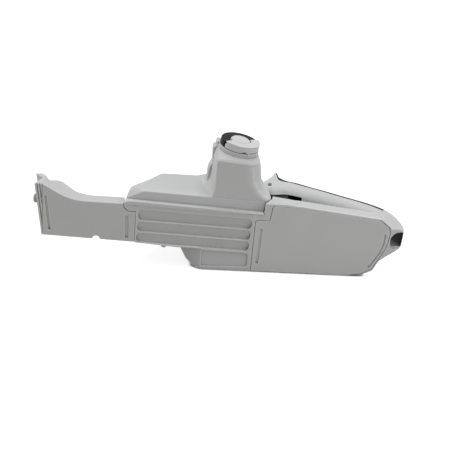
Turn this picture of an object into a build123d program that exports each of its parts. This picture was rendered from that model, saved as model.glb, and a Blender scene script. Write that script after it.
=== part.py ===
from build123d import *
import os
from math import atan, cos, degrees, radians, sin, sqrt

# Fuel tank housing with rear handle, lying on its right side. Millimetres.
# X runs to the rear end of the handle, Y away from the underside, Z up.
# Depth is measured along Y from the plane of the two underside covers.

# Lengths along X, from the middle of the tank's foot
arm_reach = 211.7          # front edge of the arm at its upper corner
arm_rake = 7.0             # how far that edge leans back over the arm's height
arm_strips = 7.9           # ribbed strip between that edge and the arm cover
tank_front = 103.0         # front wall of the fuel tank
shell_overhang = 13.0      # how far the upper shell reaches past that wall
tank_rear = 38.5           # rear wall of the fuel tank
guard_front = 29.0         # front edge of the hand guard
tail_reach = 203.0         # rear end of the handle
tail_length = 20.0         # handle beyond the guard cover
guard_slope_start = 48.0   # the guard's upper edge starts to fall this far behind its front

guard_rear = tail_reach - tail_length
arm_cover_front = arm_reach - arm_strips

# Heights along Z
arm_top = 92.7             # upper corner at the arm's front end
arm_waist = 74.6           # upper edge of the arm beside the tank
arm_floor = 29.7           # lower edge of the arm beside the tank
arm_floor_rise = 4.2       # how much higher that edge is at the front end
panel_floor = 26.0         # lower edge of the ribbed panel, above the foot
seam_height = 70.9         # weld seam above the foot's middle
seam_fall = 0.027          # drop of the seam per millimetre towards the rear
rim_height = 3.3           # shell rim above the seam at the foot's middle
rim_fall = 0.0485          # drop of the ledge per millimetre towards the rear
top_height = 84.3          # upper face of the tank above the foot's middle
top_fall = 0.035           # drop of that face per millimetre towards the rear
guard_top = 82.8           # upper edge of the hand guard at its front
ramp_rise = 4.0            # how much higher the guard's far edge is beside the shell
ramp_length = 34.0         # length over which that rise runs out

# Depths along Y
arm_depth = 19.0
front_boss_depth = 35.5    # boss at the arm's front end
tank_depth = 74.5          # tank in front of the neck
tank_deep = 97.0           # tank behind the neck
guard_depth = 19.0
foot_depth = 86.0

# Walls and clearances
wall = 3.0
cover_thickness = 3.0
shut_gap = 0.6             # gap between the guard and the tank shell
cover_gap = 0.6            # shadow gap round the guard cover
cover_edge = 0.6           # rounding of the covers' outer edges
running = 0.05             # radial play of a pin in a moving boss
moving = 0.4               # play between a moving piece and its housing

# Seats at the arm's front end
boss_back = 25.0           # from the arm's front edge to the middle of the boss
boss_height = 60.0
boss_bore = 4.0
buffer_radius = 5.0
buffer_length = 14.0
buffer_depth = 15.0
buffer_height = 70.0

# Ribbed panel
groove_depth = 3.6
groove_pitch = 13.4
groove_top = 65.0          # upper edge of the first groove above the foot's middle
groove_fall = 0.034        # drop of the grooves per millimetre towards the rear
groove_front = 100.2
groove_rear = 26.0
groove_lip = 1.1             # depth of each groove at its upper edge
groove_corner = 5.2
ledge_fall = 0.8           # drop of each ledge from its root to its edge
ledge_edge = 0.7           # thickness of the ledge's edge
panel_wall = groove_depth + wall

# Bulge that carries the foot
bulge_front = 56.5
bulge_face = 28.4
pocket_depth = 1.6

# Filler neck
neck_front = 18.0
neck_rear = 31.0
neck_near = 7.6
neck_far = 61.0
neck_flare = 17.0
neck_corner = 2.6          # its sharp near corner towards the front
collar_radius = 22.4
collar_height = 5.0
shoulder_drop = 14.2       # from the cap's rim plane down to the neck's square edge
shoulder_lean = 4.4
shoulder_tip = 3.0
mouth_radius = 17.7

# Filler cap, square to its own leaning axis
cap_x = 8.2
cap_depth = 36.0
cap_height = 143.2
cap_lean = 8.3             # towards the rear, degrees
cap_tip = 6.0              # towards the underside, degrees
cap_turned = 29.0          # hinge line of the wing against X, degrees
cap_radius = 21.7
cap_rim = 4.6              # height of the raised rear rim
cap_flange = 1.8
seat_gap = 0.3
cap_disc_radius = 11.0
cap_disc_proud = 1.5
cap_step_radius = 12.4     # light step below the disc, under the wing's plate
wing_radius = 21.9
wing_plate = 3.6
wing_lip = 3.2
wing_hinge_offset = 3.0
wing_hinge_drop = 0.5
wing_pin_radius = 1.2
stem_radius = 14.0
stem_length = 20.0
seal_wire = 1.7

# Handle
grip_root = 80.0           # where the grip leaves the control housing
grip_middle = 57.0         # middle plane of the grip
grip_half_width = 17.0
grip_half_depth = 17.0
grip_wall = 3.5
grip_round = 0.36          # corner radius of the grip, as a share of its shorter side
strip_height = 13.5        # part of the grip's depth that the back strip takes
housing_swell = 0.8        # control housing beyond the grip's side
saddle_tip = 133.0
saddle_x = 69.5

screw_stations = (3, 5)    # stations of the grip that carry a screw
screw_radius = 2.0
screw_length = 15.0
screw_boss = 4.6
recess_gap = 2.7           # from the guard cover to the tail's recess
recess_depth = 15.0
plug_thickness = 4.0

# Controls
trigger_x = 54.5
trigger_depth = 90.0
trigger_width = 19.0
trigger_travel = 14.0
pin_radius = 2.5
spring_wire = 0.7
lever_x = 85.0
lever_depth = 99.5
lever_width = 12.0
lever_proud = 8.5
lever_length = 40.0
lever_travel = 10.0

# Fuel fittings
grommet_radius = 7.0
vent_radius = 5.5
spigot_radius = 3.0
spigot_free = 7.0          # free end of the spigot, where the fuel hose goes on
spigot_shank = 3.4

# Shared helpers


def profile(points, radii=0.0):
    """Closed face through the points, with each corner rounded by its radius."""
    rounding = list(radii) if isinstance(radii, (list, tuple)) else [radii] * len(points)
    return make_face(FilletPolyline(*points, radius=rounding, close=True).edges())


def along_x(points, start, end, radii=0.0):
    """Profile in depth and height, carried along X."""
    plane = Plane(origin=(start, 0, 0), x_dir=(0, 1, 0), z_dir=(1, 0, 0))
    return extrude(plane * profile(points, radii), amount=end - start, dir=(1, 0, 0))


def along_y(points, start, end, radii=0.0):
    """Profile in X and height, carried from depth start to depth end."""
    plane = Plane(origin=(0, start, 0), x_dir=(1, 0, 0), z_dir=(0, -1, 0))
    return extrude(plane * profile(points, radii), amount=end - start, dir=(0, 1, 0))


def along_z(points, start, end, radii=0.0):
    """Plan profile in X and depth, carried from height start to height end."""
    return extrude(Pos(0, 0, start) * profile(points, radii), amount=end - start, dir=(0, 0, 1))


def rod_z(x, depth, radius, start, end):
    return Pos(x, depth, (start + end) / 2) * Cylinder(radius, end - start)


def seam_at(x):
    return seam_height - seam_fall * x


def ledge_at(x):
    return seam_height + rim_height - rim_fall * x


def top_at(x):
    return top_height - top_fall * x


def above(height_at, lift=0.0):
    """Everything above a sloping height line."""
    left, right = -arm_reach * 2, tail_reach * 2
    points = [(left, height_at(left) + lift), (right, height_at(right) + lift), (right, 400), (left, 400)]
    return along_y(points, -50, 300)


# Arm


def arm_side():
    """Side outline of the arm: a straight floor and a top that swings up to the front."""
    front = -arm_reach - 12
    points = [
        (front, arm_top),
        (-arm_cover_front + 0.5, arm_top),
        (-arm_cover_front + 31, arm_waist + 0.9),
        (-tank_front, arm_waist),
        (-tank_front, arm_floor),
        (front, arm_floor + arm_floor_rise),
    ]
    return points, [0, 4, 60, 0, 0, 0]


def arm_plan():
    """Plan of the arm, with the open groove at its front end and the boss behind it."""
    reach = arm_reach
    return [
        (-reach, 0),
        (-reach + 2.4, 6.7),
        (-reach + 6.5, 19.0),
        (-reach - 2.7, 30.9),
        (-reach + 4.7, 32.2),
        (-reach + 12.9, 20.0),
        (-reach + 20.5, front_boss_depth - 3),
        (-reach + 24.5, front_boss_depth),
        (-reach + 28.5, front_boss_depth - 2.2),
        (-reach + 40, 24.0),
        (-reach + 56, arm_depth - 0.4),
        (-tank_front, arm_depth),
        (-tank_front, 0),
    ]


def tank_corner(gap=0.0):
    """The tank's rounded corner that the arm is let in under."""
    left = -tank_front - shell_overhang - gap
    low = arm_waist - 8.2 - gap
    points = [(left, arm_waist + 20), (left, low + 4), (left + 5, low), (-tank_front + 1, low), (-tank_front + 1, arm_waist + 20)]
    return along_y(points, -20, arm_depth + 20, [0, 4, 5, 0, 0])


def buffer_blank():
    """Rubber buffer that stands out of the groove at the arm's front end."""
    body = Cylinder(buffer_radius, buffer_length)
    body = fillet(body.edges().group_by(Axis.Z)[-1], buffer_radius * 0.4)
    return Pos(-arm_reach + 4, buffer_depth, buffer_height) * Rot(0, -90, 0) * body


def arm_notch():
    middle = -(tank_front + arm_cover_front) / 2 + 8
    floor = arm_floor + arm_floor_rise * 0.4
    return Pos(middle, 0, floor - 0.6) * Rot(90, 0, 0) * Cylinder(4.2, 60)


def raked(points, top, bottom, radii=0.0):
    """Plan profile carried down along the leaning front edge."""
    face = Pos(0, 0, top) * profile(points, radii)
    lean = arm_rake * (top - bottom) / (arm_top - arm_floor - arm_floor_rise)
    return extrude(face, amount=sqrt((top - bottom) ** 2 + lean ** 2), dir=(lean, 0, bottom - top))


def make_arm_channel():
    points, radii = arm_side()
    body = along_y(points, 0, front_boss_depth + 1, radii)
    body &= raked(arm_plan(), arm_top + 1, arm_floor - 2)
    body -= tank_corner()
    face_points, face_radii = arm_cover_outline(0.0)
    body -= along_y(face_points, -1, cover_thickness, face_radii)
    hollow = offset(profile(points, radii), amount=-wall, kind=Kind.INTERSECTION)
    plane = Plane(origin=(0, cover_thickness, 0), x_dir=(1, 0, 0), z_dir=(0, -1, 0))
    hollow = extrude(plane * hollow, amount=arm_depth - wall - cover_thickness, dir=(0, 1, 0))
    span = along_x([(-5, 0), (60, 0), (60, 120), (-5, 120)], -arm_cover_front + 6, -tank_front - wall)
    body -= hollow & span
    body -= arm_notch()
    bore = Pos(-arm_reach + boss_back, front_boss_depth - 8, boss_height) * Rot(90, 0, 0) * Cylinder(boss_bore, 20)
    body -= bore
    body -= buffer_blank()
    for step in (1.9, 4.7):
        left = -arm_reach + step
        strip = [(left, -1), (left + 1.1, -1), (left + 1.1, 1.0), (left, 1.0)]
        body -= raked(strip, arm_top + 2, arm_floor - 4)
    return body


def arm_cover_outline(gap):
    front = -arm_cover_front + gap
    points = [
        (front, arm_top),
        (-arm_cover_front + 0.5, arm_top),
        (-arm_cover_front + 31, arm_waist + 0.9),
        (-tank_front - gap, arm_waist),
        (-tank_front - gap, arm_floor - 5),
        (front, arm_floor - 5),
    ]
    return points, [0, 0.5, 60, 0, 0, 0]


def make_arm_cover():
    """Flat cover of the arm, its edges soft and its floor edge open to the notch."""
    points, radii = arm_side()
    body = along_y(points, 0, cover_thickness, radii)
    points, radii = arm_cover_outline(shut_gap / 2)
    body &= along_y(points, -1, cover_thickness + 1, radii)
    body = soft_edge(body - tank_corner(shut_gap) - arm_notch())
    front, rear = -arm_cover_front, -tank_front
    body -= slot([(front + 3.7, 78.8), (front + 8.0, 39.7)], 2.3)
    return body - slot([(rear - 9.6, 60.5), (rear - 8.8, 34.1)], 3.5)


def soft_edge(body):
    """A cover with the outer edge of its front face rounded."""
    front = body.faces().sort_by(Axis.Y)[0]
    return fillet(front.outer_wire().edges(), cover_edge)


def slot(line, width):
    """Narrow moulded slot down a cover's face along the line, with a deeper pit at its lower end."""
    half = width / 2
    left = [(x - half, height) for x, height in line]
    right = [(x + half, height) for x, height in reversed(line)]
    x, height = line[-1]
    pit = [(x - half, height), (x + half, height), (x + half, height + 2.6), (x - half, height + 2.6)]
    deep = cover_thickness - 0.8
    return along_y(left + right, -1, deep - 0.9) + along_y(pit, -1, deep)


# Tank


def tank_plan(front, inset=0.0):
    """Plan of the tank: it widens behind the arm, and again behind the neck."""
    back = tank_depth - inset
    deep = tank_deep - inset
    return [
        (-front + inset, inset),
        (-front + 3 + inset, 12),
        (-front + 7 + inset, 19.4),
        (-front + 27 + inset, 48 - inset * 0.5),
        (-front + 40 + inset, back - 4),
        (-front + 60, back - 2),
        (-34, back),
        (-8 + inset, deep),
        (tank_rear - inset, deep),
        (tank_rear - inset, inset),
    ]


def tank_side():
    """Side outline of the whole tank above the panel's lower edge."""
    low = arm_waist - 8.2
    left = -tank_front - shell_overhang
    return [
        (-tank_front, panel_floor + 3.2),
        (-tank_front, low),
        (left + 5, low),
        (left, low + 4.5),
        (left, ledge_at(left) - 3),
        (left + 2.5, ledge_at(left)),
        (left + 5.5, top_at(left)),
        (tank_rear, top_at(tank_rear)),
        (tank_rear, panel_floor - 2),
        (-bulge_front, panel_floor),
    ], [0, 3, 5, 4, 2, 1, 5, 0, 0, 0]


def tank_brow():
    """Everything above the slope that eases the shell's near front corner."""
    left = -tank_front - shell_overhang
    low, high = Vector(left + 2, 5, ledge_at(left) + 0.3), Vector(left + 23, 5, top_at(left + 23))
    back = Vector(left + 5, 21, top_at(left))
    normal = (back - low).cross(high - low).normalized()
    if normal.Z < 0:
        normal = normal * -1
    plane = Plane(origin=low, x_dir=(high - low).normalized(), z_dir=normal)
    return plane * Pos(0, 0, 30) * Box(200, 200, 60)


def bulge(inset=0.0):
    """Lower part of the tank: a box whose front corner is cut back more and more downwards."""
    sections = []
    for height, cut, front, back in (
        (panel_floor + 2, 18.0, bulge_front, 8.0),
        (8.0, 11.0, bulge_front - 12.0, 4.0),
        (inset, 3.0, bulge_face + 4.6, 0.0),
    ):
        near = 0.0 if inset == 0 else panel_wall
        points = [
            (-bulge_face + inset, near),
            (-front + inset, cut + near * 0.5),
            (-front + inset, foot_depth - 24 + back - inset),
            (-front + 12 + inset, foot_depth - 12 + back - inset),
            (guard_front - inset, foot_depth + back - inset),
            (guard_front - inset, near),
        ]
        sections.append(Pos(0, 0, height) * profile(points))
    return loft(sections, ruled=True)


def tank_cavity():
    points = tank_plan(tank_front, wall)
    points[0] = (points[0][0], panel_wall)
    points[-1] = (points[-1][0], panel_wall)
    points[1] = (points[0][0], 12)
    points[2] = (points[0][0], 20)
    return along_z(points, panel_floor + 2 * wall, 200)


def grooves():
    """Three wedge grooves with rounded ends: each deepens downwards to an up-facing ledge."""
    cuts = []
    length = groove_front + groove_rear
    middle = (groove_rear - groove_front) / 2
    tilt = Pos(middle, 0, groove_top - groove_fall * middle) * Rot(0, degrees(atan(groove_fall)), 0)
    for row in range(3):
        top = -row * groove_pitch
        low = top - groove_pitch + ledge_fall + ledge_edge
        wedge = along_x(
            [(-1, top), (0, top), (groove_lip, top - groove_lip), (groove_depth, low + 2), (groove_depth, low),
             (0, low - ledge_fall), (-1, low - ledge_fall)],
            -length / 2 - 1, length / 2 + 1,
        )
        opening = top - low + ledge_fall
        outline = Plane(origin=(0, -2, top - opening / 2), x_dir=(1, 0, 0), z_dir=(0, -1, 0))
        window = outline * RectangleRounded(length, opening, groove_corner)
        cuts.append(tilt * (wedge & extrude(window, amount=groove_depth + 4, dir=(0, 1, 0))))
    return cuts


def foot_pocket():
    front, rear = -bulge_face + 0.8, guard_front - 4
    points = [(front, 4.4), (rear, 5.6), (rear - 0.5, 22.2), (front, 23.9)]
    return along_y(points, -1, pocket_depth, [1, 4, 4, 1])


def drain_nub():
    """Small moulded nub under the panel's lower edge."""
    return Pos(-bulge_front - 14, 3.5, panel_floor + 1.4) * Rot(90, 0, 0) * Cylinder(3.4, 4)


def make_tank_pan():
    points, radii = tank_side()
    body = along_y(points, 0, tank_deep + 5, radii)
    body &= along_z(tank_plan(tank_front + shell_overhang), 0, 200)
    left = -tank_front - shell_overhang - 5
    under = [(left, 0), (-tank_front, 0), (-tank_front, arm_waist - 8.2), (left, arm_waist - 8.2)]
    body -= along_y(under, -5, tank_deep + 5)
    body += bulge()
    body -= tank_cavity()
    body -= bulge(wall)
    body -= above(seam_at)
    for cut in grooves():
        body -= cut
    body -= foot_pocket()
    body += drain_nub() - above(lambda x: panel_floor, 1.5)
    right = [(guard_front, -5), (tank_rear + 5, -5), (tank_rear + 5, 100), (guard_front, 100)]
    body -= along_y(right, -5, guard_depth)
    body -= Pos(12, tank_deep - 1, 52) * Rot(90, 0, 0) * Cylinder(grommet_radius, 10)
    body -= Pos(-2, tank_deep - 1, 38) * Rot(90, 0, 0) * Cylinder(vent_radius, 10)
    return body


def neck_section(height, front, rear, far, corner, heel):
    points = [(-front, neck_near), (rear, neck_near), (rear, far), (-front - heel, far)]
    return Pos(0, 0, height) * profile(points, [neck_corner, corner, 12, 6])


def neck_sections(inset=0.0):
    """Sections of the square neck: a flared root, flush with the shell's near face."""
    rows = (
        (66.0, 5.0, neck_flare, 8.0, 8.0, 14.0),
        (84.0, 4.0, neck_flare - 1.5, 8.0, 9.0, 13.0),
        (89.0, 1.6, 10.8, 6.0, 12.0, 9.0),
        (95.0, 0.4, 6.8, 4.5, 15.0, 6.0),
        (104.0, 0.0, 3.2, 3.0, 17.0, 4.0),
        (122.0, 0.0, 0.6, 0.0, 18.0, 2.5),
        (150.0, -0.6, -0.6, -2.0, 18.0, 2.5),
    )
    return [
        neck_section(height, neck_front + front - inset, neck_rear + rear - inset, neck_far + far - inset, corner, heel)
        for height, front, rear, far, corner, heel in rows
    ]


def neck_hollow():
    """Inside of the neck, one wall smaller all round and closed below the shoulder."""
    body = loft(neck_sections(wall), ruled=True)
    body -= along_y([(-100, 0), (100, 0), (100, 200), (-100, 200)], 0, neck_near + wall)
    return body - shoulder_plane(6.0) * Pos(0, 0, 50) * Box(200, 200, 100)


def neck_heel():
    """Stepped rib up the neck's far front corner."""
    front = -neck_front
    steps = [
        (front - 6.6, 90.0), (front - 6.6, 100.0), (front - 5.6, 106.5), (front - 2.2, 112.5), (front - 2.6, 131.0),
        (front + 0.8, 132.6), (front + 1.4, 138.2), (front + 8.0, 137.4), (front + 8.0, 90.0),
    ]
    return along_y(steps, 44, neck_far - 1, [0, 2, 3, 2, 1.5, 1, 1, 0, 0])


def shoulder_plane(drop=0.0):
    """Frame of the neck's square upper edge, between level and the cap's own tilt."""
    axis = Vector(sin(radians(shoulder_lean)), -sin(radians(shoulder_tip)), 1).normalized()
    return Plane(origin=(cap_x, cap_depth, cap_height - shoulder_drop - drop), x_dir=Vector(1, 0, 0), z_dir=axis)


def neck_tower():
    """Square neck in one loft with the slope from its square edge up to the round collar."""
    low = -cap_rim - cap_flange - collar_height
    left, right = neck_front + cap_x, neck_rear - cap_x
    near, far = cap_depth - neck_near, neck_far - cap_depth
    square = [(-left + 1.4, -near + 1.8), (right - 1.4, -near + 1.8), (right - 1.4, far), (-left + 1.4, far)]
    edge = [(-left, -near), (right, -near), (right, far), (-left, far)]
    size = collar_radius + 0.8
    ring = [(-size, -size), (size, -size), (size, size), (-size, size)]
    slope = [shoulder_plane(2.4) * profile(edge, [neck_corner, 17, 12, 6]),
             shoulder_plane(0.0) * profile(square, [neck_corner + 1.5, 16, 12, 6]),
             cap_plane().offset(low) * profile(ring, size - 0.4)]
    body = loft(neck_sections()[:-1] + slope, ruled=True)
    return body + lathe([(0, low - 2), (collar_radius, low - 2), (collar_radius, low + collar_height - seat_gap),
                         (0, low + collar_height - seat_gap)], cap_plane())


def cap_plane(turned=0.0):
    """Frame of the cap: its centre at the rim plane, Z along the leaning axis."""
    axis = Vector(sin(radians(cap_lean)), -sin(radians(cap_tip)), 1).normalized()
    level = Vector(cos(radians(turned)), sin(radians(turned)), 0)
    level = level - axis * level.dot(axis)
    return Plane(origin=(cap_x, cap_depth, cap_height), x_dir=level.normalized(), z_dir=axis)


def lathe(points, frame):
    """Profile in radius and height, turned about the frame's axis."""
    plane = Plane.XZ * make_face(Polyline(*points, close=True).edges())
    return frame * revolve(plane, axis=Axis.Z)


def mouth():
    points = [(0, 5), (mouth_radius, 5), (mouth_radius, -26), (mouth_radius - 3, -30), (0, -30)]
    return lathe(points, cap_plane())


def make_tank_shell():
    points, radii = tank_side()
    body = along_y(points, -0.8, tank_deep + 5, radii)
    plan = tank_plan(tank_front + shell_overhang)
    plan[0] = (plan[0][0], -0.8)
    plan[-1] = (plan[-1][0], -0.8)
    body &= along_z(plan, 0, 200, [0, 0, 4, 20, 10, 12, 12, 8, 6, 0])
    body -= tank_brow()
    body += neck_tower() + neck_heel()
    rise = Pos(0, 0, seam_height + rim_height) * Rot(0, degrees(atan(rim_fall)), 0)
    body -= rise * along_x([(-5, 0), (4.0, 0), (neck_near, 12), (neck_near, 90), (-5, 90)], -160, 120)
    body &= above(seam_at)
    body -= tank_cavity() - above(top_at, -wall)
    body -= neck_hollow()
    body -= mouth()
    body -= guard_zone() - cheek()
    root = grip_middle + grip_half_width + housing_swell
    body -= along_y([(tank_rear, 50), (tank_rear + 40, 50), (tank_rear + 40, root), (tank_rear, root)], -5, tank_deep + 5)
    return body


# Hand guard and rear end


def guard_outline():
    return [
        (guard_front + cover_gap - 0.1, 0.5),
        (guard_front + cover_gap - 0.1, 61.0),
        (guard_front + 2.5, 62.9),
        (guard_front + 16.5, 63.0),
        (guard_front + 18.3, 79.9),
        (guard_front + 20.5, 81.2),
        (guard_front + guard_slope_start, 80.1),
        (guard_rear - 11.8, 70.2),
        (guard_rear - 0.8, 61.8),
        (guard_rear + 0.9, 53.0),
        (guard_rear - 1.3, 37.5),
        (guard_rear - 14.2, 9.4),
        (guard_rear - 26, 3.1),
        (guard_rear - 46, 0.2),
    ]


guard_radii = [0, 1.5, 0, 1.5, 1.5, 0, 60, 3, 4, 8, 20, 6, 10, 0]


def make_guard_cover():
    body = along_y(guard_outline(), 0, cover_thickness, guard_radii)
    rear = guard_rear
    bend = [(rear - 4.2, 53.6), (rear - 4.9, 40.0), (rear - 7.8, 30.0), (rear - 17.6, 11.8)]
    return soft_edge(body) - slot([(guard_front + 8.0, 52.8), (guard_front + 6.7, 10.1)], 2.9) - slot(bend, 2.0)


def tray_outline(gap=0.0):
    """Outline of the guard: the cover's outline with a narrow rim."""
    return [
        (guard_front - gap, 0.0),
        (guard_front - gap, seam_at(guard_front)),
        (tank_rear - gap, seam_at(tank_rear)),
        (tank_rear - gap, guard_top + 0.6 + gap),
        (tank_rear + 9, guard_top + gap),
        (guard_front + guard_slope_start, guard_top - 0.6),
        (guard_rear - 11.4, 71.9),
        (guard_rear + 1.0, 62.6),
        (guard_rear + 2.6, 53.0),
        (guard_rear + 0.4, 37.0),
        (guard_rear - 12.8, 8.3),
        (guard_rear - 25.6, 2.2),
        (guard_rear - 46, 0.0),
    ]


tray_radii = [0, 0, 0, 1, 5, 60, 3, 4, 8, 20, 6, 10, 0]


def ramp(gap=0.0):
    """Rise of the guard's top towards its far edge, beside the tank shell."""
    low, high = guard_top - 4, guard_top + ramp_rise + gap
    end = tank_rear + ramp_length
    body = along_y([(tank_rear - gap, low), (tank_rear - gap, high), (end, low + 3.6), (end, low)], -gap, guard_depth + gap)
    slope = [(-gap - 1, guard_top + 0.4 + gap), (guard_depth + gap + 1, high), (guard_depth + gap + 1, high + 40),
             (-gap - 1, high + 40)]
    return body - along_x(slope, tank_rear - 5, end + 5)


def guard_block():
    return along_y(tray_outline(), -5, guard_depth, tray_radii)


def guard_zone():
    """The guard's place in the tank shell, with the shut gap round it."""
    return along_y(tray_outline(shut_gap), -5, guard_depth + shut_gap, tray_radii) + ramp(shut_gap)


def cheek(gap=0.0):
    """Corner of the shell's flared root that reaches over into the guard, in plan."""
    left = tank_rear - shut_gap + gap
    points = [(left - 5, -8), (left, -8), (left, 0.5), (left + 5.2, 7), (left + 8.6, 11.5), (left + 10.2, 21), (left - 5, 21)]
    return along_z(points, seam_at(tank_rear) + 3 - gap, 120)


def make_guard_tray():
    body = along_y(tray_outline(), 0, guard_depth, tray_radii) + ramp() - cheek(shut_gap)
    gap = offset(profile(guard_outline(), guard_radii), amount=cover_gap, kind=Kind.INTERSECTION)
    plane = Plane(origin=(0, -1, 0), x_dir=(1, 0, 0), z_dir=(0, -1, 0))
    body -= extrude(plane * gap, amount=cover_thickness + 1, dir=(0, 1, 0))
    foot = [(guard_front - 1, -1), (guard_rear - 40, -1), (guard_rear - 40, 2), (guard_front - 1, 2)]
    body -= along_y(foot, -1, cover_thickness)
    hollow = offset(profile(guard_outline(), guard_radii), amount=-wall - 1, kind=Kind.INTERSECTION)
    plane = Plane(origin=(0, cover_thickness, 0), x_dir=(1, 0, 0), z_dir=(0, -1, 0))
    body -= extrude(plane * hollow, amount=guard_depth - cover_thickness - wall, dir=(0, 1, 0))
    return body


# Handle


def grip_stations():
    """Middle line of the grip: X, depth, height, direction in degrees, half depth, half width."""
    deep, wide, level = grip_half_depth, grip_half_width, grip_middle
    rows = (
        (0.0, 91.5, level, -20.0, deep + 3.0, wide + 0.5),
        (0.130, 83.3, level, -29.0, deep + 1.5, wide),
        (0.276, 72.0, level, -32.0, deep + 0.5, wide),
        (0.429, 59.6, level, -34.0, deep, wide - 0.5),
        (0.569, 47.4, level, -36.0, deep, wide - 0.5),
        (0.683, 36.8, level, -39.0, deep + 0.2, wide - 1.0),
        (0.785, 25.4, level - 1.0, -46.0, deep - 0.2, wide - 1.0),
        (0.859, 13.4, level - 4.0, -62.0, deep - 1.2, wide - 2.5),
        (0.884, 0.0, level - 8.5, -84.0, deep - 4.8, wide - 4.5),
    )
    return [(grip_root + share * (tail_reach - grip_root), *rest) for share, *rest in rows]


def station_plane(x, depth, height, turn):
    """Frame square to the grip: local X towards the palm, local Y up."""
    along = Vector(cos(radians(turn)), sin(radians(turn)), 0)
    across = Vector(-sin(radians(turn)), cos(radians(turn)), 0)
    return Plane(origin=(x, depth, height), x_dir=across, z_dir=along)


def housing_stations():
    """The control housing in front of the grip, as stations of the same line."""
    level, wide = grip_middle, grip_half_width + housing_swell
    return [
        (tank_rear - 5, 80.0, level, 20.0, 15.5, wide - 0.6),
        (49.0, 87.0, level, 14.0, 16.5, wide),
        (64.0, 90.8, level, -4.0, 20.0, wide),
    ]


def grip_section(station, inset=0.0):
    x, depth, height, turn, half_depth, half_width = station
    size = (2 * (half_depth - inset), 2 * (half_width - inset))
    return station_plane(x, depth, height, turn) * RectangleRounded(size[0], size[1], min(size) * grip_round)


def grip_body(inset=0.0, last=9):
    return loft([grip_section(station, inset) for station in grip_stations()[:last]])


def handle_body():
    """Control housing and grip in one sweep, down to the tail."""
    return loft([grip_section(station) for station in housing_stations() + grip_stations()])


def palm_line(lower):
    """Points along the palm side of the grip, lowered towards its middle."""
    line = []
    for x, depth, _, turn, half_depth, _ in grip_stations():
        reach = half_depth - lower
        line.append((x - sin(radians(turn)) * reach, depth + cos(radians(turn)) * reach))
    return line


def saddle():
    """Upright fin at the root of the grip that keeps the hand from sliding forward."""
    half = grip_half_width + housing_swell - 1.2
    points = [
        (47.0, 96.0), (52.0, 104.5), (59.0, 115.0), (saddle_x - 3, saddle_tip), (saddle_x - 0.3, saddle_tip),
        (saddle_x, 118.0), (saddle_x + 5, 109.0), (saddle_x + 14, 102.0), (saddle_x, 92.0),
    ]
    return along_z(points, grip_middle - half, grip_middle + half, [0, 4, 12, 0.8, 0.8, 5, 6, 0, 0])


def strip_zone():
    """Region of the back strip: along the palm line and up the saddle's rear face."""
    line = palm_line(strip_height)
    low = [(saddle_x - 2, saddle_tip + 30), (saddle_x - 2, line[0][1] + 12), (line[0][0] - 9, line[0][1] + 2)]
    turn = radians(grip_stations()[6][3])
    end = (line[6][0] - sin(turn) * 40, line[6][1] + cos(turn) * 40)
    return along_z(low + line[:7] + [end, (end[0], saddle_tip + 30)], 0, 120)


def trigger_slot():
    half = trigger_width / 2 + moving + 0.6
    x, depth = trigger_x, trigger_depth
    points = [(x - 6, depth - 50), (x + 37, depth - 50), (x + 37, depth - 6), (x + 11.5, depth + 9.5),
              (x - 6, depth + 9.5)]
    return along_z(points, grip_middle - half, grip_middle + half, [0, 0, 3, 3, 3])


def lever_slot():
    half = lever_width / 2 + moving
    line = palm_line(0)
    points = [(lever_x - 6, 140), (lever_x - 6, line[0][1] - 20), (lever_x + 6, line[0][1] - 22),
              (line[2][0] - 4, line[2][1] - 12), (line[2][0] + 1, line[2][1] - 6), (line[2][0] + 10, 140)]
    return along_z(points, grip_middle - half, grip_middle + half)


def tail_web():
    """Web below the tail's recess, down to the guard's rear edge."""
    points = [
        (guard_rear - 14, 14), (guard_rear - 9.7, 18.1), (guard_rear - 0.4, 26.2), (tail_reach - 9, 34.5),
        (tail_reach - 6.2, 39.0), (tail_reach - 5.5, 47.0), (guard_rear - 8, 58.0), (guard_rear - 16, 40),
    ]
    back = [
        (guard_rear - 12, 24), (guard_rear + 7, 30.6), (tail_reach - 2.4, 31.4), (tail_reach - 0.6, 37),
        (tail_reach, 52), (tail_reach - 3, 62), (guard_rear - 8, 60),
    ]
    start = recess_depth - plug_thickness
    body = along_y(points, 0, guard_depth, [0, 12, 8, 2, 3, 0, 0, 0])
    return body + along_y(back, start, guard_depth + 3, [0, 4, 3, 5, 5, 6, 0])


def tail_recess():
    left, low = guard_rear + recess_gap, 35.6
    points = [(left, low + 0.6), (left - 0.6, 51.0), (left + 5, 56.8), (tail_reach + 8, 58.8), (tail_reach + 8, low - 0.6)]
    return along_y(points, -5, recess_depth, [4.5, 8, 8, 0, 0])


def handle_solid():
    body = handle_body() + saddle() + tail_web()
    body &= along_z([(tank_rear, 0), (tail_reach + 20, 0), (tail_reach + 20, 200), (tank_rear, 200)], -10, 200)
    return body - guard_block() - tail_recess()


def make_handle_grip():
    body = handle_solid() - strip_zone()
    body -= grip_body(grip_wall, 7)
    body -= trigger_slot() + lever_slot()
    for index in screw_stations:
        x, depth, height, turn, half_depth, _ = grip_stations()[index]
        foot, head = -half_depth + 2.0, half_depth - grip_wall - 0.3
        boss = Pos((foot + head) / 2, 0, 0) * Rot(0, 90, 0) * Cylinder(screw_boss, head - foot)
        body += station_plane(x, depth, height, turn) * boss
    body -= screws()
    hole = rod_z(trigger_x, trigger_depth, pin_radius, 0, 120)
    hole += rod_z(lever_x, lever_depth, pin_radius - 0.5, grip_middle - 15, grip_middle + 15)
    hole += pin_recess()
    return body - hole


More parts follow.
